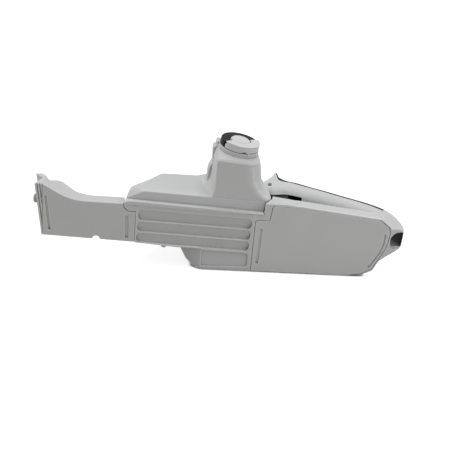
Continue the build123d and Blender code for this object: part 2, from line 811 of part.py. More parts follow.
def pin_recess():
    """Slanting recess over the trigger pin's end."""
    high = grip_middle + grip_half_width - 2
    slope = [(trigger_depth - 9, high + 1.4), (trigger_depth + 3.2, high), (trigger_depth + 3.2, 120), (trigger_depth - 9, 120)]
    block = along_x(slope, trigger_x - 2.9, trigger_x + 2.9)
    plan = Pos(trigger_x, trigger_depth - 2.6, 0) * Rot(0, 0, 78) * SlotOverall(11.5, 5.2)
    return block & extrude(plan, amount=150, dir=(0, 0, 1))


def make_handle_moulding():
    body = handle_solid() & strip_zone()
    body -= grip_body(grip_wall, 7)
    body -= lever_slot()
    return body - screws()


def screws():
    """Two countersunk screws that hold the back strip to the bosses in the grip."""
    parts = []
    for index in screw_stations:
        x, depth, height, turn, half_depth, _ = grip_stations()[index]
        shank = Pos(half_depth - screw_length / 2, 0, 0) * Rot(0, 90, 0) * Cylinder(screw_radius, screw_length)
        head = Pos(half_depth - 1.7, 0, 0) * Rot(0, 90, 0) * Cylinder(screw_radius * 1.9, 2.2)
        parts.append(station_plane(x, depth, height, turn) * (shank + head))
    return parts[0] + parts[1]


def make_moulding_screws():
    return screws()


def coil(x, depth, bore, start, turns, leg_turn, leg_length):
    """Close-wound torsion spring round a pin, with one straight leg."""
    inner, outer = bore + spring_wire, bore + 3 * spring_wire
    points = [(inner, start)]
    for turn in range(turns):
        low = start + turn * 2 * spring_wire
        points += [(outer - 0.4, low), (outer, low + 0.4), (outer, low + 2 * spring_wire - 0.4)]
    end = start + turns * 2 * spring_wire
    points += [(outer - 0.4, end), (inner, end)]
    body = revolve(Plane.XZ * make_face(Polyline(*points, close=True).edges()), axis=Axis.Z)
    leg = Pos(leg_length / 2, outer - spring_wire, end - spring_wire) * Rot(0, 90, 0) * Cylinder(spring_wire * 0.8, leg_length)
    return Pos(x, depth, 0) * Rot(0, 0, leg_turn) * (body + leg)


def make_trigger_spring():
    low = grip_middle - trigger_width / 2
    return coil(trigger_x, trigger_depth, pin_radius, low + 0.2, 3, 160, 4.4)


def make_interlock_spring():
    low = grip_middle - lever_width / 2
    return coil(lever_x, lever_depth, pin_radius - 0.5, low + 0.2, 2, 205, 4.6)


def spring_pocket(x, depth, radius, low, height):
    return rod_z(x, depth, radius, low - 1, low + height)


def make_throttle_trigger():
    half = trigger_width / 2
    blade = [(-5.6, 1), (-3.5, -12), (2.5, -25), (10.5, -36), (19.5, -42), (24.5, -41), (25.5, -34), (20.5, -24),
             (18.5, -14), (12.5, -6), (2.5, 6), (-3.5, 6)]
    points = [(trigger_x + x, trigger_depth + depth) for x, depth in blade]
    body = along_z(points, grip_middle - half, grip_middle + half, [4, 10, 20, 12, 3, 2, 3, 12, 8, 8, 3, 4])
    body -= spring_pocket(trigger_x, trigger_depth, pin_radius + 3 * spring_wire + 1.4, grip_middle - half, 5.0)
    return body - rod_z(trigger_x, trigger_depth, pin_radius + running, 0, 120)


def make_trigger_pin():
    return rod_z(trigger_x, trigger_depth, pin_radius, grip_middle - grip_half_width, grip_middle + grip_half_width - 2)


def make_interlock_lever():
    half = lever_width / 2
    line = palm_line(0)
    points = [
        (lever_x - 4.5, lever_depth - 3), (lever_x - 4, lever_depth + 5), (lever_x + 6, line[0][1] + 0.5),
        (line[1][0] + 4, line[1][1] + lever_proud * 0.8), (line[2][0] - 6, line[2][1] + lever_proud + 2),
        (line[2][0] - 1, line[2][1] + 3), (line[2][0] - 4, line[2][1] + 1), (line[1][0], line[1][1] - 4),
        (lever_x + 6, lever_depth - 4),
    ]
    body = along_z(points, grip_middle - half, grip_middle + half, [3, 3, 6, 12, 3, 2, 1, 6, 3])
    body -= spring_pocket(lever_x, lever_depth, pin_radius + 3 * spring_wire + 0.8, grip_middle - half, 4.2)
    return body - rod_z(lever_x, lever_depth, pin_radius - 0.5 + running, 0, 120)


def make_interlock_pin():
    return rod_z(lever_x, lever_depth, pin_radius - 0.5, grip_middle - 12, grip_middle + 12)


def make_tail_plug():
    """Black stopper at the bottom of the tail's recess."""
    body = handle_solid_open() & tail_recess()
    body &= along_z([(0, recess_depth - plug_thickness), (tail_reach + 20, recess_depth - plug_thickness),
                     (tail_reach + 20, recess_depth), (0, recess_depth)], -10, 200)
    return body


def handle_solid_open():
    return handle_body() + tail_web()


# Filler cap


def make_cap_body():
    """Dark base: a flange with a raised rim round its rear half."""
    frame = cap_plane(cap_turned)
    seat = -cap_rim - cap_flange
    body = Pos(0, 0, (seat - cap_rim) / 2) * Cylinder(wing_radius - wing_lip - moving, cap_flange)
    rim = Pos(0, 0, seat / 2) * Cylinder(cap_radius, -seat)
    rim -= Pos(0, -50 - wing_hinge_offset + moving, 0) * Box(100, 100, 40)
    rim -= Pos(0, -50 - 0.5, 20 - wing_hinge_drop - 2.7) * Box(100, 100, 40)
    body += rim
    body -= Cylinder(cap_step_radius, 60)
    return frame * fillet_top(body, 0.8)


def fillet_top(body, radius):
    edges = body.edges().filter_by(GeomType.CIRCLE).group_by(Axis.Z)[-1]
    return fillet(edges.sort_by(SortBy.RADIUS)[-1], radius)


def make_cap_rotor():
    """Light centre disc, with the stem and two bayonet lugs below the flange."""
    frame = cap_plane(cap_turned)
    seat = -cap_rim - cap_flange
    points = [(0, cap_disc_proud), (cap_disc_radius - 1.5, cap_disc_proud), (cap_disc_radius, cap_disc_proud - 1.2),
              (cap_disc_radius, cap_disc_proud - wing_plate - moving), (cap_step_radius, cap_disc_proud - wing_plate - moving),
              (cap_step_radius, seat), (stem_radius, seat), (stem_radius, seat - stem_length), (0, seat - stem_length)]
    body = revolve(Plane.XZ * make_face(Polyline(*points, close=True).edges()), axis=Axis.Z)
    for side in (-1, 1):
        lug = Pos(side * (mouth_radius - 1.1 - 2.5), 0, seat - stem_length + 4) * Box(5, 8, 4)
        body += lug
    body -= Pos(0, -wing_hinge_offset, -wing_hinge_drop) * Rot(0, 90, 0) * Cylinder(wing_pin_radius, 60)
    groove = Pos(0, 0, seat - seal_wire) * Torus(stem_radius + 1.6, seal_wire)
    return frame * (body - groove)


def make_cap_lever():
    """Half-moon wing that folds up about a line beside the disc, with a thumb notch under its lip."""
    frame = cap_plane(cap_turned)
    top = cap_disc_proud
    hinge = -wing_hinge_offset
    disc = Pos(0, 0, top - wing_plate / 2) * Cylinder(wing_radius, wing_plate)
    lip_height = top + cap_rim + cap_flange - moving
    lip = Pos(0, 0, top - lip_height / 2) * (Cylinder(wing_radius, lip_height) - Cylinder(wing_radius - wing_lip, lip_height))
    front = Pos(0, hinge - 50, 0) * Box(100, 100, 40)
    body = (disc + lip) & front
    for side in (-1, 1):
        body += Pos(side * 15.0, hinge, -wing_hinge_drop) * Rot(0, 90, 0) * Cylinder(2.0, 6.5)
    body -= Cylinder(cap_disc_radius + 2 * moving, 60)
    body -= Rot(0, 0, 251) * Pos(wing_radius, 0, top - lip_height) * Box(4.4, 4.4, 3.0)
    body -= Pos(0, hinge, -wing_hinge_drop) * Rot(0, 90, 0) * Cylinder(wing_pin_radius + running, 60)
    return frame * body


def make_cap_lever_pin():
    frame = cap_plane(cap_turned)
    return frame * (Pos(0, -wing_hinge_offset, -wing_hinge_drop) * Rot(0, 90, 0) * Cylinder(wing_pin_radius, 34))


def make_cap_seal():
    seat = -cap_rim - cap_flange
    return cap_plane(cap_turned) * (Pos(0, 0, seat - seal_wire) * Torus(stem_radius + 1.6, seal_wire))


# Fuel fittings in the tank's deep wall


def make_hose_grommet():
    body = Cylinder(grommet_radius, wall) + Pos(0, 0, 2.5) * Cylinder(grommet_radius + 2, 2)
    body += Pos(0, 0, -2.5) * Cylinder(grommet_radius + 1.5, 2)
    body -= Cylinder(spigot_shank, 20)
    return Pos(12, tank_deep - wall / 2, 52) * Rot(-90, 0, 0) * body


def make_hose_spigot():
    body = Pos(0, 0, 0) * Cylinder(spigot_shank, 14)
    body += Pos(0, 0, 8 - 0.8) * Cylinder(spigot_shank + 1.2, 1.6)
    body += Pos(0, 0, 8 + spigot_free / 2) * Cylinder(spigot_radius, spigot_free)
    body -= Cylinder(spigot_radius / 2, 60)
    return Pos(12, tank_deep - wall / 2, 52) * Rot(-90, 0, 0) * body


def make_vent_body():
    body = Cylinder(vent_radius, wall) + Pos(0, 0, 4) * Cylinder(vent_radius + 2, 5)
    body -= Pos(0, 0, 5) * Cylinder(4.5, 8)
    body -= Cylinder(1.0, 20)
    return Pos(-2, tank_deep - wall / 2, 38) * Rot(-90, 0, 0) * body


def make_vent_valve():
    return Pos(-2, tank_deep - wall / 2 + 3.5, 38) * Rot(-90, 0, 0) * Cylinder(4.5, 5)


def make_arm_buffer():
    return buffer_blank()


PIECES = {
    "arm_channel": make_arm_channel,
    "arm_cover": make_arm_cover,
    "tank_pan": make_tank_pan,
    "tank_shell": make_tank_shell,
    "guard_tray": make_guard_tray,
    "guard_cover": make_guard_cover,
    "handle_grip": make_handle_grip,
    "handle_moulding": make_handle_moulding,
    "throttle_trigger": make_throttle_trigger,
    "trigger_pin": make_trigger_pin,
    "interlock_lever": make_interlock_lever,
    "interlock_pin": make_interlock_pin,
    "trigger_spring": make_trigger_spring,
    "interlock_spring": make_interlock_spring,
    "moulding_screws": make_moulding_screws,
    "tail_plug": make_tail_plug,
    "cap_body": make_cap_body,
    "cap_rotor": make_cap_rotor,
    "cap_lever": make_cap_lever,
    "cap_lever_pin": make_cap_lever_pin,
    "cap_seal": make_cap_seal,
    "hose_grommet": make_hose_grommet,
    "hose_spigot": make_hose_spigot,
    "vent_body": make_vent_body,
    "vent_valve": make_vent_valve,
    "arm_buffer": make_arm_buffer,
}

os.makedirs("parts", exist_ok=True)
for node, make in PIECES.items():
    piece = Pos(0, -foot_depth / 2, 0) * make()
    export_step(piece, "parts/" + node + ".step")
    print(node, len(piece.solids()), round(piece.volume))
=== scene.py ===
import bmesh
import bpy
import numpy as np
from mathutils import Matrix, Vector


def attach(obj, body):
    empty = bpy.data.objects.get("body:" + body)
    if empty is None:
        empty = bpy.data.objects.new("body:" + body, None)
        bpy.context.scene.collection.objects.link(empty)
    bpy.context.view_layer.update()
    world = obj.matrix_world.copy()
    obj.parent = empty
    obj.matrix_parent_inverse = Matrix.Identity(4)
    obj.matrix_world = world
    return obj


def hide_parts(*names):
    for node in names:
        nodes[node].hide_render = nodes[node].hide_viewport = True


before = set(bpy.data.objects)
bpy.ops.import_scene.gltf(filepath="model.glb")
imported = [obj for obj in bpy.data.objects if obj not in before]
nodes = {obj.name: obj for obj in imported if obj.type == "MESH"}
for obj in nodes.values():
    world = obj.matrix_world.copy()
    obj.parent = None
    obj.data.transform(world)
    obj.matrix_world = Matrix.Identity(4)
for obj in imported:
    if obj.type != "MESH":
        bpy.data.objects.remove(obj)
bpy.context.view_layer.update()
scene = bpy.context.scene
print("stage: frame loaded,", len(nodes), "nodes")

# helpers for materials


def newMaterial(name):
    material = bpy.data.materials.new(name)
    material.use_nodes = True
    tree = material.node_tree
    return material, tree, tree.nodes["Principled BSDF"]


def addNode(tree, kind, **values):
    node = tree.nodes.new(kind)
    for key, value in values.items():
        if key in node.inputs:
            node.inputs[key].default_value = value
        else:
            setattr(node, key, value)
    return node


def objectPlace(tree, scale=(1, 1, 1)):
    coords = addNode(tree, "ShaderNodeTexCoord")
    mapping = addNode(tree, "ShaderNodeMapping")
    mapping.inputs["Scale"].default_value = scale
    tree.links.new(coords.outputs["Object"], mapping.inputs["Vector"])
    return mapping.outputs["Vector"]


def noiseAt(tree, place, scale, detail=3.0, roughness=0.5):
    noise = addNode(tree, "ShaderNodeTexNoise", Scale=scale, Detail=detail, Roughness=roughness)
    tree.links.new(place, noise.inputs["Vector"])
    return noise.outputs["Fac"]


def rampBetween(tree, value, low, high, first, last):
    ramp = addNode(tree, "ShaderNodeValToRGB")
    ramp.color_ramp.elements[0].position = low
    ramp.color_ramp.elements[1].position = high
    ramp.color_ramp.elements[0].color = first if isinstance(first, tuple) else (first, first, first, 1)
    ramp.color_ramp.elements[1].color = last if isinstance(last, tuple) else (last, last, last, 1)
    tree.links.new(value, ramp.inputs["Fac"])
    return ramp.outputs["Color"]


# sockets 0, 6 and 7 of the colour mix are its share and its two colours
def mixedBy(tree, share, first, second):
    mix = addNode(tree, "ShaderNodeMix", data_type="RGBA")
    for socket, value in ((0, share), (6, first), (7, second)):
        if isinstance(value, (tuple, float)):
            mix.inputs[socket].default_value = value
        else:
            tree.links.new(value, mix.inputs[socket])
    return mix.outputs[2]


raySamples = 6  # rays for each sky or rounded edge


# share of open sky round a point, out to the distance: low in a gap, or low at an edge when it looks inside
def openness(tree, distance, inside=False):
    sky = addNode(tree, "ShaderNodeAmbientOcclusion", samples=raySamples, inside=inside, Distance=distance)
    return sky.outputs["AO"]


# layers of the moulded plastic: the span of its pattern over which each comes in or goes out, and the colour
# that it brings, as a share of the base colour
layerSpan = {
    "cloud": (0.35, 0.65), "streak": (0.56, 0.78), "edge": (0.45, 0.95), "hollow": (0.40, 0.72),
    "paintedGapShade": (0.10, 0.62), "grain": (0.3, 0.7),
}
layerShade = {"streak": 0.72, "edge": 1.3, "speck": 0.35, "hollow": 0.30, "paintedGapShade": 0.10}


# moulded plastic: base colour clouded by a wide noise and streaked by one stretched along X, paler edges that
# are a painted highlight, small specks where a cell point meets the surface, painted shade in the hollows and
# in the narrow gaps, and grain bump over rounded edges
def mouldedPlastic(name, look):
    material, tree, shader = newMaterial(name)
    place = objectPlace(tree)
    base = np.array(look["colour"])

    def shade(factor):
        return tuple(np.clip(base * factor, 0, 1)) + (1,)

    def ramp(layer, value, first, last):
        return rampBetween(tree, value, *layerSpan[layer], first, last)

    def laidOver(colour, layer, share):
        return mixedBy(tree, share, colour, shade(layerShade[layer]))

    cloud = noiseAt(tree, place, look["cloudScale"], detail=2.0)
    colour = ramp("cloud", cloud, shade(1 - look["cloud"]), shade(1 + look["cloud"]))
    stretched = objectPlace(tree, look["streakStretch"])
    streak = noiseAt(tree, stretched, look["streakScale"], detail=5.0, roughness=0.62)
    colour = laidOver(colour, "streak", ramp("streak", streak, 0.0, look["streak"]))
    # painted highlight: edges come out paler where the rays that look inside meet the other face close by
    inner = openness(tree, look["edgeReach"] * look["edge"], True)
    colour = laidOver(colour, "edge", ramp("edge", inner, look["paintedEdgeHighlight"], 0.0))
    cells = addNode(tree, "ShaderNodeTexVoronoi", Scale=look["speckScale"])
    tree.links.new(place, cells.inputs["Vector"])
    speck = rampBetween(tree, cells.outputs["Distance"], *look["speckSize"], look["speck"], 0.0)
    colour = laidOver(colour, "speck", speck)
    # painted shade: darker where the sky is closed within hollowReach, as down in the grooves
    if look["hollow"]:
        sky = openness(tree, look["hollowReach"])
        colour = laidOver(colour, "hollow", ramp("hollow", sky, look["hollow"], 0.0))
    # painted shade: darker in narrow gaps and pits, where the sky is closed within gapReach
    gap = openness(tree, look["gapReach"])
    colour = laidOver(colour, "paintedGapShade", ramp("paintedGapShade", gap, look["paintedGapShade"], 0.0))
    tree.links.new(colour, shader.inputs["Base Color"])

    grain = noiseAt(tree, place, look["grainScale"], detail=4.0, roughness=0.6)
    rough = ramp("grain", grain, look["rough"] - look["roughSpread"], look["rough"] + look["roughSpread"])
    tree.links.new(rough, shader.inputs["Roughness"])
    bevel = addNode(tree, "ShaderNodeBevel", samples=raySamples, Radius=look["edge"])
    bump = addNode(tree, "ShaderNodeBump", Strength=look["grain"], Distance=look["grainDepth"])
    tree.links.new(grain, bump.inputs["Height"])
    tree.links.new(bevel.outputs["Normal"], bump.inputs["Normal"])
    tree.links.new(bump.outputs["Normal"], shader.inputs["Normal"])
    shader.inputs["Specular IOR Level"].default_value = look["specular"]
    return material


# turned or drawn steel: fine streaks from a noise squeezed along Z, so that they run round the pins, and a
# darker film in wide clouds
def turnedSteel(name, look):
    material, tree, shader = newMaterial(name)
    streak = noiseAt(tree, objectPlace(tree, look["squeeze"]), look["streakScale"])
    low, high = look["rough"] - steelSurface["roughSpread"], look["rough"] + steelSurface["roughSpread"]
    rough = rampBetween(tree, streak, *steelSurface["streakSpan"], low, high)
    tree.links.new(rough, shader.inputs["Roughness"])
    film = noiseAt(tree, objectPlace(tree), look["filmScale"])
    base = np.array(look["colour"])
    filmed = tuple(base * steelSurface["filmShade"]) + (1,)
    colour = rampBetween(tree, film, *steelSurface["filmSpan"], tuple(base) + (1,), filmed)
    tree.links.new(colour, shader.inputs["Base Color"])
    bump = addNode(tree, "ShaderNodeBump", Strength=steelSurface["bump"], Distance=steelSurface["bumpDepth"])
    tree.links.new(streak, bump.inputs["Height"])
    tree.links.new(bump.outputs["Normal"], shader.inputs["Normal"])
    shader.inputs["Metallic"].default_value = 1.0
    return material


# lengths in metres: edge is the radius of the rounded edges, and the rays look as far as edgeReach times
# edge, hollowReach and gapReach
housingLook = {
    "colour": (0.560, 0.563, 0.560), "cloud": 0.012, "cloudScale": 22,
    "streak": 0.07, "streakScale": 26, "streakStretch": (0.35, 1.0, 1.0),
    "paintedEdgeHighlight": 0.7, "edge": 0.0012, "edgeReach": 1.6,
    "speck": 0.55, "speckScale": 70, "speckSize": (0.018, 0.030),
    "hollow": 0.0, "hollowReach": 0.006, "paintedGapShade": 0.75, "gapReach": 0.0022,
    "grain": 0.22, "grainScale": 1800, "grainDepth": 0.0002,
    "rough": 0.56, "roughSpread": 0.06, "specular": 0.20,
}
plasticLook = {
    "tankPlastic": {**housingLook, "hollow": 0.42, "paintedEdgeHighlight": 0.9},
    "guardPlastic": {**housingLook, "colour": (0.578, 0.580, 0.576), "paintedGapShade": 0.5},
    "armPlastic": {**housingLook, "colour": (0.548, 0.553, 0.545)},
    "handlePlastic": {**housingLook, "colour": (0.565, 0.569, 0.568), "rough": 0.50},
    "capLight": {**housingLook, "colour": (0.600, 0.600, 0.585), "cloud": 0.01, "cloudScale": 60,
                 "streak": 0.04, "paintedEdgeHighlight": 0.3, "edge": 0.0005, "speck": 0.3, "paintedGapShade": 0.4,
                 "gapReach": 0.0012, "grain": 0.15, "grainScale": 2200, "rough": 0.48, "specular": 0.4},
    "capDark": {**housingLook, "colour": (0.017, 0.017, 0.020), "cloud": 0.05, "cloudScale": 60,
                "paintedEdgeHighlight": 0.6, "edge": 0.0005, "grain": 0.3, "grainScale": 2200, "rough": 0.50,
                "specular": 0.07},
    "blackMoulding": {**housingLook, "colour": (0.017, 0.017, 0.018), "cloud": 0.06, "cloudScale": 40,
                      "streak": 0.2, "edge": 0.0006, "grain": 0.45, "grainScale": 1500, "rough": 0.58},
    "rubber": {**housingLook, "colour": (0.013, 0.013, 0.013), "cloud": 0.08, "cloudScale": 80,
               "streak": 0.2, "edge": 0.0004, "grain": 0.5, "grainScale": 2600, "rough": 0.74,
               "specular": 0.3},
    "plugRubber": {**housingLook, "colour": (0.034, 0.032, 0.028), "cloud": 0.08, "cloudScale": 120,
                   "streak": 0.2, "edge": 0.0004, "paintedGapShade": 0.6, "grain": 0.4, "grainScale": 2600,
                   "rough": 0.60, "specular": 0.12},
    "greyRubber": {**housingLook, "colour": (0.40, 0.40, 0.39), "cloud": 0.04, "cloudScale": 90,
                   "streak": 0.15, "edge": 0.0005, "grain": 0.5, "grainScale": 2600, "rough": 0.74,
                   "specular": 0.3},
}
steelSurface = {
    "streakSpan": (0.3, 0.7), "roughSpread": 0.08, "filmSpan": (0.4, 0.75), "filmShade": 0.7,
    "bump": 0.15, "bumpDepth": 0.0001,
}
steelLook = {
    "turnedSteel": {"colour": (0.34, 0.34, 0.35), "rough": 0.42, "squeeze": (1, 1, 30), "streakScale": 400,
                    "filmScale": 90},
    "screwSteel": {"colour": (0.44, 0.44, 0.45), "rough": 0.36, "squeeze": (1, 1, 1), "streakScale": 900,
                   "filmScale": 200},
    "springWire": {"colour": (0.42, 0.42, 0.44), "rough": 0.30, "squeeze": (1, 1, 8), "streakScale": 700,
                   "filmScale": 300},
}
dustAndLightLook = {
    "from": (0.1935, 0.0, 0.0425), "towards": (-0.5, 0.0, -0.8), "reach": 0.009,
    "noiseScale": 260, "uneven": 0.5, "span": (0.25, 0.95), "most": 0.9, "colour": (0.27, 0.265, 0.25),
}


# pale dust over a finish, which is also painted light: its share grows along a direction, with an edge
# broken by noise
def addDustAndLight(name, look):
    tree = finish[name].node_tree
    shader = tree.nodes["Principled BSDF"]
    under = shader.inputs["Base Color"].links[0].from_socket
    place = objectPlace(tree)
    offset = addNode(tree, "ShaderNodeVectorMath", operation="SUBTRACT")
    tree.links.new(place, offset.inputs[0])
    offset.inputs[1].default_value = look["from"]
    along = addNode(tree, "ShaderNodeVectorMath", operation="DOT_PRODUCT")
    tree.links.new(offset.outputs[0], along.inputs[0])
    along.inputs[1].default_value = [value / look["reach"] for value in look["towards"]]
    broken = addNode(tree, "ShaderNodeMath", operation="MULTIPLY_ADD")
    noise = noiseAt(tree, place, look["noiseScale"], detail=4.0, roughness=0.6)
    tree.links.new(noise, broken.inputs[0])
    broken.inputs[1].default_value = look["uneven"]
    tree.links.new(along.outputs["Value"], broken.inputs[2])
    share = rampBetween(tree, broken.outputs[0], *look["span"], 0.0, look["most"])
    tree.links.new(mixedBy(tree, share, under, look["colour"] + (1,)), shader.inputs["Base Color"])


finish = {name: mouldedPlastic(name, look) for name, look in plasticLook.items()}
finish.update({name: turnedSteel(name, look) for name, look in steelLook.items()})
# the stopper's pale dust is partly painted light, paler towards its lower left where the recess is lit
addDustAndLight("plugRubber", dustAndLightLook)
print("stage: finishes made")

nodeFinish = {
    "arm_channel": "armPlastic", "arm_cover": "armPlastic", "arm_buffer": "greyRubber",
    "tank_pan": "tankPlastic", "tank_shell": "tankPlastic",
    "guard_tray": "guardPlastic", "guard_cover": "guardPlastic", "handle_grip": "handlePlastic",
    "handle_moulding": "blackMoulding", "throttle_trigger": "blackMoulding",
    "interlock_lever": "blackMoulding",
    "trigger_pin": "turnedSteel", "interlock_pin": "turnedSteel", "cap_lever_pin": "turnedSteel",
    "moulding_screws": "screwSteel", "trigger_spring": "springWire", "interlock_spring": "springWire",
    "cap_body": "capDark", "cap_rotor": "capLight", "cap_lever": "capLight", "cap_seal": "rubber",
    "tail_plug": "rubber", "hose_grommet": "rubber", "hose_spigot": "blackMoulding",
    "vent_body": "blackMoulding", "vent_valve": "rubber",
}
for name, node in nodes.items():
    node.data.materials.clear()
    node.data.materials.append(finish[nodeFinish[name]])
print("stage: nodes finished")

# new pieces


# a grid of points, rows along the first parameter and columns round the second, joined into quads; each end
# row is closed by one more face
def gridPiece(name, points, material, smooth=True):
    rows, columns = points.shape[:2]
    row, column = np.meshgrid(np.arange(rows - 1), np.arange(columns), indexing="ij")
    after = (column + 1) % columns
    quads = np.stack([row * columns + column, row * columns + after,
                      (row + 1) * columns + after, (row + 1) * columns + column], axis=-1).reshape(-1, 4)
    faces = quads.tolist()
    faces.append(list(range(columns))[::-1])
    faces.append(list(range((rows - 1) * columns, rows * columns)))
    mesh = bpy.data.meshes.new(name)
    mesh.from_pydata(points.reshape(-1, 3).tolist(), [], faces)
    shape = bmesh.new()
    shape.from_mesh(mesh)
    bmesh.ops.recalc_face_normals(shape, faces=shape.faces)
    shape.to_mesh(mesh)
    shape.free()
    mesh.polygons.foreach_set("use_smooth", np.full(len(faces), smooth))
    mesh.materials.append(material)
    piece = bpy.data.objects.new(name, mesh)
    scene.collection.objects.link(piece)
    return piece


# unit vectors of a frame whose third axis is the given direction
def frameAlong(direction, towards):
    axis = np.array(direction) / np.linalg.norm(direction)
    first = np.array(towards) - axis * np.dot(towards, axis)
    first /= np.linalg.norm(first)
    return first, np.cross(axis, first), axis


# bead along X: at each step an oval round the middle line, a radius high and flatness times that deep
def beadPoints(x, height, radius, look):
    turn = np.linspace(0, 2 * np.pi, look["columns"], endpoint=False)
    return np.stack([
        np.repeat(x[:, None], look["columns"], axis=1),
        look["depth"] - radius[:, None] * look["flatness"] * np.cos(turn),
        height[:, None] - radius[:, None] * np.sin(turn),
    ], axis=-1)


# factor that wanders along X: straight runs between random values at evenly spaced knots
def wanderAlong(x, look):
    rng = np.random.default_rng(look["seed"])
    knots = np.linspace(x[0], x[-1], look["knots"])
    return np.interp(x, knots, rng.uniform(*look["wander"], look["knots"]))


# line is X and Z of the cover's upper edge, and lift is the bead's place above it
coverFlash = {
    "line": [(0.0485, 0.0812), (0.0600, 0.0813), (0.0770, 0.0803), (0.1000, 0.0779), (0.1300, 0.0746),
             (0.1600, 0.0714), (0.1705, 0.0702)],
    "lift": 0.0002, "depth": -0.04285, "radius": 0.00050, "flatness": 0.5, "taper": 0.002, "tip": 0.1,
    "seed": 11, "knots": 90, "wander": (0.94, 1.06), "columns": 10, "rows": 500,
}


# flash over the gap above the guard cover: a bead of wandering radius along the cover's upper edge, which
# tapers at both ends
def makeCoverFlash():
    look = coverFlash
    line = np.array(look["line"])
    x = np.linspace(line[0, 0], line[-1, 0], look["rows"])
    height = np.interp(x, line[:, 0], line[:, 1]) + look["lift"]
    radius = look["radius"] * wanderAlong(x, look)
    radius *= np.clip(np.minimum(x - x[0], x[-1] - x) / look["taper"], look["tip"], 1)
    piece = gridPiece("coverFlash", beadPoints(x, height, radius, look), finish["guardPlastic"])
    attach(piece, "root")


# open lists the stretches along X where the weld is open
weldFlash = {
    "start": -0.1150, "end": 0.0375, "height": 0.07078, "fall": 0.027, "depth": -0.04300, "radius": 0.00022,
    "flatness": 0.8, "seed": 7, "knots": 150, "wander": (0.35, 1.15), "columns": 8, "rows": 700,
    "open": [(-0.107, -0.099), (-0.0895, -0.0880), (-0.0015, 0.0050), (0.0073, 0.0116), (0.0180, 0.0372)],
    "openRadius": 0.00042, "openFade": 0.0008, "grainScale": 1500, "grainSpan": (0.3, 0.7),
    "pale": ((0.47, 0.47, 0.455, 1), (0.56, 0.56, 0.55, 1)), "paintedWeldShade": (0.09, 0.085, 0.08, 1),
    "rough": (0.45, 0.65),
}


# weld flash along the seam: a bead whose radius wanders, and which is wider where the weld is open and
# painted dark there as the shade in that cavity; its middle line falls with X as the seam does
def makeWeldFlash():
    look = weldFlash
    x = np.linspace(look["start"], look["end"], look["rows"])
    isOpen = np.zeros_like(x)
    for low, high in look["open"]:
        isOpen = np.maximum(isOpen, np.clip(np.minimum(x - low, high - x) / look["openFade"], 0, 1))
    radius = look["radius"] * wanderAlong(x, look) * (1 - isOpen) + look["openRadius"] * isOpen
    height = look["height"] - look["fall"] * x
    material, tree, shader = newMaterial("weldFlash")
    # painted shade: the bead is coloured dark where the weld is open, for the shade in its cavity
    paintedWeldShade = addNode(tree, "ShaderNodeAttribute", attribute_name="paintedWeldShade")
    grain = noiseAt(tree, objectPlace(tree), look["grainScale"])
    pale = rampBetween(tree, grain, *look["grainSpan"], *look["pale"])
    tree.links.new(mixedBy(tree, paintedWeldShade.outputs["Fac"], pale, look["paintedWeldShade"]), shader.inputs["Base Color"])
    tree.links.new(rampBetween(tree, grain, *look["grainSpan"], *look["rough"]), shader.inputs["Roughness"])
    piece = gridPiece("seamFlash", beadPoints(x, height, radius, look), material)
    attribute = piece.data.attributes.new("paintedWeldShade", "FLOAT", "POINT")
    attribute.data.foreach_set("value", np.repeat(isOpen, look["columns"]).astype(np.float32))
    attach(piece, "root")


# arrays of a node's mesh with its doubled points merged: points, triangles, and the normal at each corner
def mergedArrays(name):
    mesh = nodes[name].data
    points = np.empty(len(mesh.vertices) * 3)
    mesh.vertices.foreach_get("co", points)
    corners = np.empty(len(mesh.loops), dtype=np.int32)
    mesh.loops.foreach_get("vertex_index", corners)
    normals = np.empty(len(mesh.loops) * 3)
    mesh.corner_normals.foreach_get("vector", normals)
    rounded = np.round(points.reshape(-1, 3), decimals=6)
    merged, place = np.unique(rounded, axis=0, return_inverse=True)
    triangles = place.reshape(-1)[corners].reshape(-1, 3)
    whole = (triangles != np.roll(triangles, 1, axis=1)).all(axis=1)
    return merged, triangles[whole], normals.reshape(-1, 3, 3)[whole]


# unit normal of each triangle: the cross product of two sides, over its length
def faceNormals(points, triangles):
    a, b, c = (points[triangles[:, corner]] for corner in range(3))
    normals = np.cross(b - a, c - a)
    tiny = 1e-12  # keeps a triangle without area from being divided by nothing
    return normals / np.maximum(np.linalg.norm(normals, axis=1), tiny)[:, None]


# outer is the range of Y that the sloping front takes, and flat is how much of it stays; inner is the Y of
# the wall behind; ledge is height at X = 0 and slope; wallReach and reach say how near a point lies
shellStep = {
    "outer": (-0.0391, -0.0358), "flat": 0.12, "inner": -0.0364, "wallReach": 0.00006, "innerBack": 0.0023,
    "ledge": (0.07432, -0.0482), "ledgeFront": -0.0385, "reach": 0.0003, "lower": 0.0009, "sameWay": 0.9995,
}


